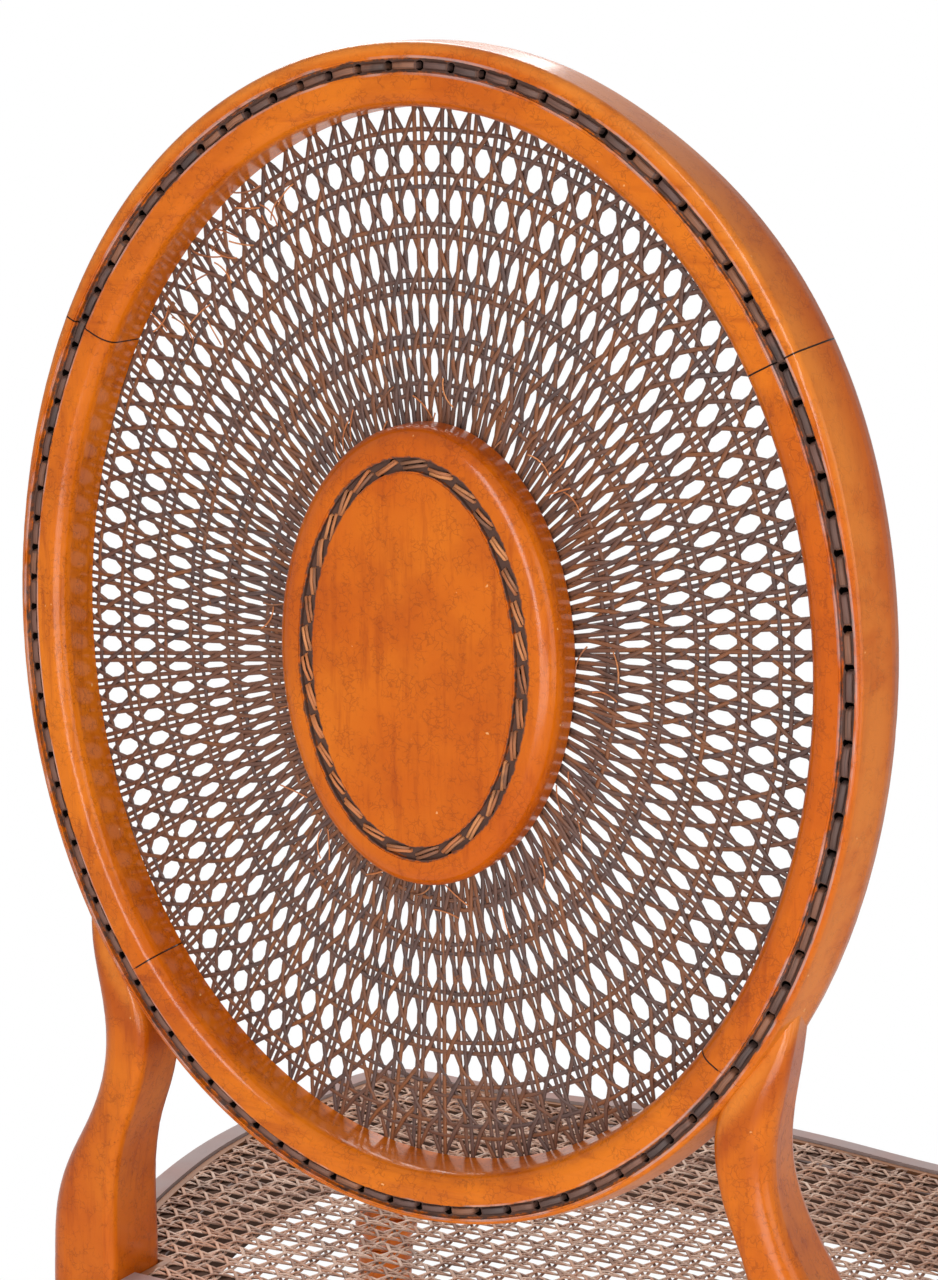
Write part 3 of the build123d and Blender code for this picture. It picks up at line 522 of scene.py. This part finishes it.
upright_wood = varnish("varnish_upright", GRAIN_UP)
across_wood = varnish("varnish_seat_across", GRAIN_SIDEWAYS, of_seat=True)
deep_wood = varnish("varnish_seat_deep", GRAIN_FORWARDS, of_seat=True)
post_wood = varnish("varnish_back_upright", GRAIN_UP, of_back=True)
rail_wood = varnish("varnish_back_across", GRAIN_ACROSS_BACK, of_back=True)
back_cane = cane("old_back_cane", streak_share=0.7, rough=0.42, dirt_share=0.5)
tie_cane = cane("groove_cane", streak_share=0.8, rough=0.5, dirt_share=0.8)
stitch_cane = cane("stitch_cane", streak_share=0.8, rough=0.5, dirt_share=0.9)
seat_cane = cane("seat_cane_light", streak_share=0.9, rough=0.45, dirt_share=0.7)
binder_cane = cane("binder_cane", streak_share=0.6, rough=0.4, dirt_share=0.4)


# Woven strands

def strand_profile(name, width, thickness):
    """The flat lens-shaped section of one strand, and how far across it each point lies."""
    curve = bpy.data.curves.new(name, "CURVE")
    curve.dimensions = "2D"
    spline = curve.splines.new("POLY")
    outline = ((-0.5, 0), (-0.28, 0.5), (0.28, 0.5), (0.5, 0), (0.28, -0.5), (-0.28, -0.5))
    spline.points.add(len(outline) - 1)
    for point, (across, up) in zip(spline.points, outline):
        point.co = (across * width, up * thickness, 0, 1)
    spline.use_cyclic_u = True
    return bpy.data.objects.new(name, curve), [across for across, up in outline]


def mark_strands(mesh, paths, shares):
    """Give every point its strand's number, its running length and its place across."""
    names = ("strand", "along", "across")
    marks = {name: mesh.attributes.new(name, "FLOAT", "POINT") for name in names}
    tones = random.Random(5)
    index = 0
    for path in paths:
        tone = tones.random()
        run = 0.0
        for number, at in enumerate(path):
            run += (at - path[number - 1]).length if number else 0
            for share in shares:
                marks["strand"].data[index].value = tone
                marks["along"].data[index].value = run
                marks["across"].data[index].value = share
                index += 1


def strands(name, paths, width, thickness, place):
    """Many flat strands as one mesh."""
    profile, shares = strand_profile(name + "_profile", width, thickness)
    curve = bpy.data.curves.new(name, "CURVE")
    curve.dimensions = "3D"
    curve.twist_mode = "Z_UP"
    curve.bevel_mode = "OBJECT"
    curve.bevel_object = profile
    curve.use_fill_caps = True
    for path in paths:
        spline = curve.splines.new("POLY")
        spline.points.add(len(path) - 1)
        for point, at in zip(spline.points, path):
            point.co = (at.x, at.y, at.z, 1)
    maker = bpy.data.objects.new(name, curve)
    bpy.context.scene.collection.objects.link(maker)
    bpy.context.view_layer.update()
    shaped = maker.evaluated_get(bpy.context.evaluated_depsgraph_get())
    mesh = bpy.data.meshes.new_from_object(shaped)
    bpy.data.objects.remove(maker)
    mesh.name = name
    mark_strands(mesh, paths, shares)
    mesh.transform(place)
    mesh.shade_smooth()
    mesh.materials.clear()
    piece = bpy.data.objects.new(name, mesh)
    bpy.context.scene.collection.objects.link(piece)
    return piece


def wobble(size):
    return Vector((rng.uniform(-size, size), rng.uniform(-size, size), 0))


def sideways(run):
    return Vector((-run.y, run.x, 0)).normalized()


def at_depth(at, depth):
    return Vector((at.x, at.y, depth))


def oval(half_width, half_height, angle):
    return Vector((half_width * math.cos(angle), half_height * math.sin(angle), 0))


def hole_angles(half_width, half_height, count):
    """Angles that step along an oval at the almost even pitch of the drilled holes."""
    length = [0.0]
    for step in range(OVAL_STEPS):
        run = oval(half_width, half_height, math.tau * (step + 1) / OVAL_STEPS)
        run -= oval(half_width, half_height, math.tau * step / OVAL_STEPS)
        length.append(length[-1] + run.length)
    angles = []
    step = 0
    for number in range(count):
        turn = math.tau * number / count
        drift = HOLE_DRIFT_ACROSS_SHARE * math.cos(turn) + HOLE_DRIFT_UP_SHARE * math.sin(turn)
        target = length[-1] * (number / count + (HOLE_START_SHARE + drift) / FRAME_HOLES)
        while length[step + 1] < target:
            step += 1
        part = (target - length[step]) / (length[step + 1] - length[step])
        angles.append(math.tau * (step + part) / OVAL_STEPS)
    return angles


def crossing(start, end, half_width, half_height):
    """Where a straight strand from the hub crosses a ring."""
    run = end - start
    a = (run.x / half_width) ** 2 + (run.y / half_height) ** 2
    b = 2 * (start.x * run.x / half_width ** 2 + start.y * run.y / half_height ** 2)
    c = (start.x / half_width) ** 2 + (start.y / half_height) ** 2 - 1
    share = (-b + math.sqrt(b * b - 4 * a * c)) / (2 * a)
    return start + run * share


class Fan:
    """The net of crossings on which the cane of the back is woven."""

    def __init__(self):
        outer = hole_angles(OVAL_HALF_WIDTH, OVAL_HALF_HEIGHT, FRAME_HOLES)
        hub = hole_angles(MEDALLION_HALF_WIDTH, MEDALLION_HALF_HEIGHT, FRAME_HOLES)
        self.outer = [oval(OVAL_HALF_WIDTH, OVAL_HALF_HEIGHT, a) for a in outer]
        self.hub = [oval(MEDALLION_HALF_WIDTH, MEDALLION_HALF_HEIGHT, a) + wobble(HUB_STRAY)
                    for a in hub]
        self.rings = []
        for side_share, top_share in zip(RING_SIDE_SHARES, RING_TOP_SHARES):
            wide = MEDALLION_HALF_WIDTH + (OVAL_HALF_WIDTH - MEDALLION_HALF_WIDTH) * side_share
            tall = MEDALLION_HALF_HEIGHT + (OVAL_HALF_HEIGHT - MEDALLION_HALF_HEIGHT) * top_share
            row = [crossing(self.hub[c], self.outer[c], wide, tall) for c in range(FRAME_HOLES)]
            self.rings.append([at + wobble(CROSSING_STRAY) for at in row])
        self.levels = len(self.rings)

    def node(self, column, level):
        """A crossing by column and ring: -1 is the hub, and past the last ring is the frame."""
        column %= FRAME_HOLES
        if level < 0:
            return self.hub[column]
        if level >= self.levels:
            return self.outer[column]
        return self.rings[level][column]

    def point(self, column, level):
        """Any place on the net, also between two columns and two rings."""
        left = math.floor(column)
        inner = math.floor(level)
        ends = []
        for row in (inner, inner + 1):
            ends.append(self.node(left, row).lerp(self.node(left + 1, row), column - left))
        return ends[0].lerp(ends[1], level - inner)

    def outwards(self, column):
        return (self.outer[column % FRAME_HOLES] - self.hub[column % FRAME_HOLES]).normalized()


def radial_strands(fan):
    """Two strands from every hole of the frame to the hub."""
    paths = []
    for column in range(FRAME_HOLES):
        side = sideways(fan.outwards(column))
        for strand in (-1, 1):
            path = []
            for half in range(-2, fan.levels * 2 + 1):
                level = half / 2
                room = (fan.point(column + 1, level) - fan.point(column, level)).length
                offset = min(RADIAL_PAIR_OFFSET, room * RADIAL_PAIR_SHARE)
                if half in (-2, fan.levels * 2):
                    offset = HOLE_RADIUS * PAIR_SHARE_IN_HOLE
                at = fan.point(column, level) + side * strand * offset + wobble(RADIAL_STRAY)
                path.append(at_depth(at, CANE_MIDDLE + strand * RADIAL_PAIR_STEP))
            paths.append(path)
    return paths


def ring_strands(fan):
    """Two strands round every ring, woven over and under the radial pairs."""
    paths = []
    for level in range(fan.levels):
        part = level / (fan.levels - 1)
        offset = INNER_RING_PAIR_OFFSET + (RING_PAIR_OFFSET - INNER_RING_PAIR_OFFSET) * part
        for strand in (-1, 1):
            path = []
            broken = level == fan.levels - 1 and strand < 0
            start = BROKEN_COLUMNS[-1] + 1 if broken else 0
            count = FRAME_HOLES - len(BROKEN_COLUMNS) if broken else FRAME_HOLES + 1
            for half in range(count * 2 - 1):
                column = start + half / 2
                swing = RING_SWING if half % 2 == 0 else 0
                swing *= strand * (-1) ** (half // 2)
                at = fan.point(column, level) + fan.outwards(math.floor(column)) * strand * offset
                path.append(at_depth(at + wobble(RING_STRAY), CANE_MIDDLE + swing))
            paths.append(path)
    return paths


def diagonal_strands(fan, lean):
    """Single strands that climb one column at every ring, between the crossings of the pairs."""
    paths = []
    for column in range(FRAME_HOLES):
        path = []
        for quarter in range(-4, fan.levels * 4 + 1):
            level = quarter / 4
            climb = max(-0.5, min(level, fan.levels - 0.5))
            lift = 0 if quarter < 0 or level > fan.levels - 0.5 else math.cos(math.tau * level)
            at = fan.point(column + 0.5 + lean * climb, level) + wobble(DIAGONAL_STRAY)
            path.append(at_depth(at, CANE_MIDDLE - lean * lift * WEAVE_HEIGHT))
        paths.append(path)
    return paths


def loose_fibres(fan):
    """Fine split fibres: many where the cane is broken, some round the medallion."""
    paths = []
    broken = [(rng.uniform(BROKEN_COLUMNS[0] - 3, BROKEN_COLUMNS[-1] + 3),
               rng.uniform(fan.levels - 2.2, fan.levels - 0.4)) for _ in range(BROKEN_FIBRES)]
    hub = [(rng.uniform(0, FRAME_HOLES), rng.uniform(-0.5, 0.3)) for _ in range(HUB_FIBRES)]
    for column, level in broken + hub:
        at = fan.point(column, level)
        heading = rng.uniform(0, math.tau)
        bend = rng.uniform(-0.2, 0.2)
        lift = rng.uniform(0.5, 1.6) * MM
        depth = CANE_MIDDLE - STRAND_THICKNESS
        path = []
        for _ in range(FIBRE_POINTS):
            path.append(at_depth(at, depth))
            at = at + Vector((math.cos(heading), math.sin(heading), 0)) * FIBRE_STEP
            heading += bend
            depth -= lift * 0.4
        paths.append(path)
    return paths


def woven_back():
    fan = Fan()
    sets = {"radials": radial_strands(fan), "rings": ring_strands(fan),
            "left_diagonals": diagonal_strands(fan, -1),
            "right_diagonals": diagonal_strands(fan, 1)}
    for name, paths in sets.items():
        piece = strands(f"woven_back_{name}", paths, STRAND_WIDTH, STRAND_THICKNESS, BACK)
        dressed(piece, "back_cane", back_cane, "back_cane")
    fibres = strands("loose_fibres", loose_fibres(fan), FIBRE_WIDTH, FIBRE_WIDTH / 2, BACK)
    dressed(fibres, "back_cane", stitch_cane, "back_cane")


# Strands in the grooves and on the front

def tie_path(start, end, radius, floor, rise):
    """One strand that comes up out of a hole, lies in the groove and goes down the next hole."""
    forward = (end - start).normalized()
    stops = ((0.66, 3.4 * MM), (0.76, 1.4 * MM), (0.95, 0.1 * MM), (1.30, -rise * 0.7))
    path = [at_depth(start + forward * radius * share, floor + depth) for share, depth in stops]
    path.append(at_depth((start + end) / 2 + wobble(TIE_MIDDLE_STRAY), floor - rise))
    for share, depth in reversed(stops):
        path.append(at_depth(end - forward * radius * share, floor + depth))
    return path


def frame_ties():
    """The strand that shows between every two neighbouring holes of the oval."""
    angles = hole_angles(OVAL_HALF_WIDTH, OVAL_HALF_HEIGHT, FRAME_HOLES)
    holes = [oval(OVAL_HALF_WIDTH, OVAL_HALF_HEIGHT, a) for a in angles]
    paths = []
    for number, hole in enumerate(holes):
        following = holes[(number + 1) % FRAME_HOLES]
        paths.append(tie_path(hole + wobble(TIE_STRAY), following + wobble(TIE_STRAY), HOLE_RADIUS,
                              GROOVE_DEPTH, rng.uniform(*TIE_RISES) * MM))
    return strands("groove_ties", paths, TIE_WIDTH, TIE_THICKNESS, BACK)


def stitch_holes():
    """The holes of the medallion, by turns inside and outside the middle of its groove."""
    holes = []
    angles = hole_angles(MEDALLION_HALF_WIDTH, MEDALLION_HALF_HEIGHT, STITCH_HOLES)
    for number, angle in enumerate(angles):
        offset = STITCH_ROW_OFFSET if number % 2 else -STITCH_ROW_OFFSET
        holes.append(oval(MEDALLION_HALF_WIDTH + offset, MEDALLION_HALF_HEIGHT + offset, angle))
    return holes


def medallion_ties():
    """Slanting double stitches between the two rows of holes of the medallion, end over end."""
    holes = stitch_holes()
    floor = MEDALLION_REAR + GROOVE_DEPTH
    paths = []
    for number, hole in list(enumerate(holes))[::2]:
        following = holes[(number + 1) % len(holes)]
        along = (holes[(number + 2) % len(holes)] - hole).normalized() * STITCH_OVERLAP
        side = sideways(following - hole) * STITCH_PAIR_OFFSET
        for strand in (-1, 1):
            paths.append(tie_path(hole + side * strand - along + wobble(STITCH_STRAY),
                                  following + side * strand + along + wobble(STITCH_STRAY),
                                  STITCH_HOLE_RADIUS / 2, floor, rng.uniform(*STITCH_RISES) * MM))
    return strands("medallion_stitches", paths, STITCH_WIDTH, TIE_THICKNESS, BACK)


def binder(name, half_width, half_height, holes):
    """The strip that covers the holes on the front, and the loops that hold it down."""
    depth = CANE_DEPTH + BINDER_LIFT
    line = []
    for step in range(BINDER_STEPS + 1):
        line.append(at_depth(oval(half_width, half_height, math.tau * step / BINDER_STEPS), depth))
    strip = strands(name, [line], BINDER_WIDTH, BINDER_THICKNESS, BACK)
    loops = []
    for angle in hole_angles(half_width, half_height, holes)[::2]:
        at = oval(half_width, half_height, angle) + wobble(LOOP_STRAY)
        out = Vector((at.x / half_width ** 2, at.y / half_height ** 2, 0)).normalized()
        arch = ((-3.2, -1.3), (-2.7, 0.1), (-1.2, 0.8), (1.2, 0.8), (2.7, 0.1), (3.2, -1.3))
        loops.append([at_depth(at + out * off * MM, depth + lift * MM) for off, lift in arch])
    return strip, strands(name + "_loops", loops, LOOP_WIDTH, LOOP_THICKNESS, BACK)


# Cane of the seat

class SeatRoom:
    """The flat room inside the strip that wedges the seat cane."""

    def __init__(self):
        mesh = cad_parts["seat_spline"].data
        self.walls = BVHTree.FromPolygons([v.co for v in mesh.vertices],
                                          [p.vertices for p in mesh.polygons])
        low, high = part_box("seat_spline")
        self.middle = Vector(((low.x + high.x) / 2, (low.y + high.y) / 2, high.z - 0.4 * MM))
        self.reach = (high - low).length / 2
        self.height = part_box("seat_cane")[0].z + SEAT_LIFT

    def holds(self, at):
        away = at_depth(at - self.middle, 0)
        if away.length < SEAT_PITCH:
            return True
        hit = self.walls.ray_cast(self.middle, away.normalized())
        return hit[3] is None or hit[3] > away.length - EDGE_ROOM

    def edge(self, inside, outside):
        """Where a strand meets the wall of the room."""
        for _ in range(EDGE_HALVINGS):
            half_way = (inside + outside) / 2
            if self.holds(half_way):
                inside = half_way
            else:
                outside = half_way
        return inside

    def runs(self, start, forward, step, lift_of):
        """The stretches of one straight strand that lie in the room, with its over and under."""
        count = int(self.reach / step) + 1
        points = [start + forward * step * n for n in range(-count, count + 1)]
        lifts = [lift_of(n) for n in range(-count, count + 1)]
        inside = [self.holds(p) for p in points]
        paths = []
        path = []
        for number, here in enumerate(points):
            if inside[number]:
                if not path and number:
                    path.append(at_depth(self.edge(here, points[number - 1]), self.height))
                path.append(at_depth(here + wobble(SEAT_STRAY), self.height + lifts[number]))
            elif path:
                path.append(at_depth(self.edge(points[number - 1], here), self.height))
                paths.append(path)
                path = []
        return [p for p in paths if len(p) > 3]


def seat_strands(room, across, lean=0):
    """Pairs that run across or deep, or single diagonals between their crossings."""
    paths = []
    count = int(room.reach / SEAT_PITCH) + 2
    for number in range(-count, count + 1):
        if lean:
            start = room.middle + Vector(((number + 0.5) * SEAT_PITCH, 0, 0))
            forward = Vector((1, lean, 0)).normalized()
            step = SEAT_PITCH / math.sqrt(2) / 2
            paths += room.runs(start, forward, step,
                               lambda n: -lean * SEAT_WEAVE_HEIGHT * math.cos(math.pi * n / 2))
            continue
        for strand in (-1, 1):
            offset = number * SEAT_PITCH + strand * SEAT_PAIR_OFFSET
            start = room.middle + (Vector((0, offset, 0)) if across else Vector((offset, 0, 0)))
            forward = Vector((1, 0, 0)) if across else Vector((0, 1, 0))
            swing = strand * (SEAT_PAIR_SWING if across else -SEAT_PAIR_SWING)
            paths += room.runs(start, forward, SEAT_PITCH / 4,
                               lambda n: swing * math.cos(math.tau * n / 4))
    return paths


def woven_seat():
    room = SeatRoom()
    sets = {"across": seat_strands(room, True), "deep": seat_strands(room, False),
            "left_diagonals": seat_strands(room, False, -1),
            "right_diagonals": seat_strands(room, False, 1)}
    for name, paths in sets.items():
        piece = strands(f"woven_seat_{name}", paths, SEAT_STRAND_WIDTH, SEAT_STRAND_THICKNESS,
                        Matrix())
        dressed(piece, "seat_cane", seat_cane, "seat_cane")


# Dress the chair

def dress_wood():
    finishes = {
        post_wood: ("left_rear_post", "right_rear_post", "back_medallion"),
        rail_wood: ("crest_rail", "lower_back_rail"),
        across_wood: ("front_seat_rail", "rear_seat_rail"),
        deep_wood: ("left_seat_rail", "right_seat_rail"),
        upright_wood: ("left_front_leg", "right_front_leg"),
        dowel_wood(): ("back_joint_dowels", "rear_rail_dowels", "side_rail_dowels",
                       "front_rail_dowels"),
        binder_cane: ("seat_spline",),
    }
    for finish, nodes in finishes.items():
        for node in nodes:
            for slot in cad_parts[node].material_slots:
                slot.material = finish


dress_wood()
woven_back()
dressed(frame_ties(), "back_cane", tie_cane, "frame_cane_ties")
dressed(medallion_ties(), "back_cane", stitch_cane, "medallion_cane_ties")
for piece in binder("frame_binder", OVAL_HALF_WIDTH, OVAL_HALF_HEIGHT, FRAME_HOLES):
    dressed(piece, "back_cane", binder_cane, "frame_cane_binder")
for piece in binder("medallion_binder", MEDALLION_HALF_WIDTH, MEDALLION_HALF_HEIGHT, STITCH_HOLES):
    dressed(piece, "back_cane", binder_cane, "medallion_cane_binder")
woven_seat()


# Floor, light and camera

FLOOR_SIZE = 16
FLOOR_GREY = 0.86
FLOOR_GLOW_SHARE = 0.72
FLOOR_SHADOW_REACH = (0.45, 0.75)
ROOM_LIGHT = 0.27
WHITE = (1, 1, 1, 1)

# Lamps: place, width, height and power
LAMPS = {
    "key_light": ((-0.43, 1.88, 1.12), 0.38, 1.5, 22),
    "low_light": ((-0.7, 1.7, 0.15), 1.4, 0.5, 12),
    "side_light": ((-2.0, 0.7, 0.8), 1.0, 1.4, 10),
    "top_light": ((0.75, -0.9, 2.1), 1.0, 1.0, 27),
}

# The photograph's view: from behind, to one side and a little above the back
LENS_LENGTH = 77.72
LENS_SHIFT_ACROSS = 0.0026
LENS_SHIFT_UP = 0.0395
EYE_PLACE = (-0.534, 1.1838, 0.9173)
EYE_TURN_DEGREES = (80.954, -1.940, -152.552)


def seen_rays(finish):
    """One where a surface is seen by the camera, in a gloss or through glass, and nought else."""
    path = finish.node("ShaderNodeLightPath").outputs
    seen = Field(finish, path["Is Camera Ray"])
    for ray in ("Is Glossy Ray", "Is Transmission Ray"):
        seen = seen.maths("MAXIMUM", Field(finish, path[ray]))
    return seen


def floor():
    """A plain pale floor that shows white to the camera and still takes the chair's shadow."""
    bpy.ops.mesh.primitive_plane_add(size=FLOOR_SIZE)
    plane = bpy.context.object
    plane.name = "floor"
    pale = new_finish("pale_floor")
    grey = (FLOOR_GREY, FLOOR_GREY, FLOOR_GREY, 1)
    shade = pale.node("ShaderNodeBsdfDiffuse", inputs={"Color": grey})
    glow = pale.node("ShaderNodeEmission", inputs={"Color": WHITE, "Strength": 1.0})
    x, y, _ = pale.parts(pale.place())
    away = (x * x + y * y).root().ramp(*FLOOR_SHADOW_REACH)
    share = seen_rays(pale) * (FLOOR_GLOW_SHARE + away * (1 - FLOOR_GLOW_SHARE))
    mixed = pale.node("ShaderNodeMixShader", inputs={
        0: share, 1: shade.outputs[0], 2: glow.outputs[0]})
    pale.node("ShaderNodeOutputMaterial", inputs={"Surface": mixed.outputs[0]})
    plane.data.materials.append(pale.owner)


def surroundings():
    """White where it is seen, and a plain soft light on the chair."""
    world = bpy.data.worlds.new("studio")
    room = Finish(world)
    strength = seen_rays(room) * (1 - ROOM_LIGHT) + ROOM_LIGHT
    back = room.node("ShaderNodeBackground", inputs={"Color": WHITE, "Strength": strength})
    room.node("ShaderNodeOutputWorld", inputs={"Surface": back.outputs[0]})
    bpy.context.scene.world = world


def softbox(name, place, wide, tall, power):
    lamp = bpy.data.lights.new(name, "AREA")
    lamp.shape = "RECTANGLE"
    lamp.size = wide
    lamp.size_y = tall
    lamp.energy = power
    box = bpy.data.objects.new(name, lamp)
    box.location = place
    box.rotation_euler = (BACK_CENTRE - Vector(place)).to_track_quat("-Z", "Y").to_euler()
    bpy.context.scene.collection.objects.link(box)


def camera():
    lens = bpy.data.cameras.new("camera")
    lens.lens = LENS_LENGTH
    lens.shift_x = LENS_SHIFT_ACROSS
    lens.shift_y = LENS_SHIFT_UP
    eye = bpy.data.objects.new("camera", lens)
    eye.location = EYE_PLACE
    eye.rotation_euler = [math.radians(turn) for turn in EYE_TURN_DEGREES]
    bpy.context.scene.collection.objects.link(eye)
    bpy.context.scene.camera = eye


floor()
surroundings()
for lamp_name, sizes in LAMPS.items():
    softbox(lamp_name, *sizes)
camera()
bpy.context.scene.view_settings.view_transform = "Standard"
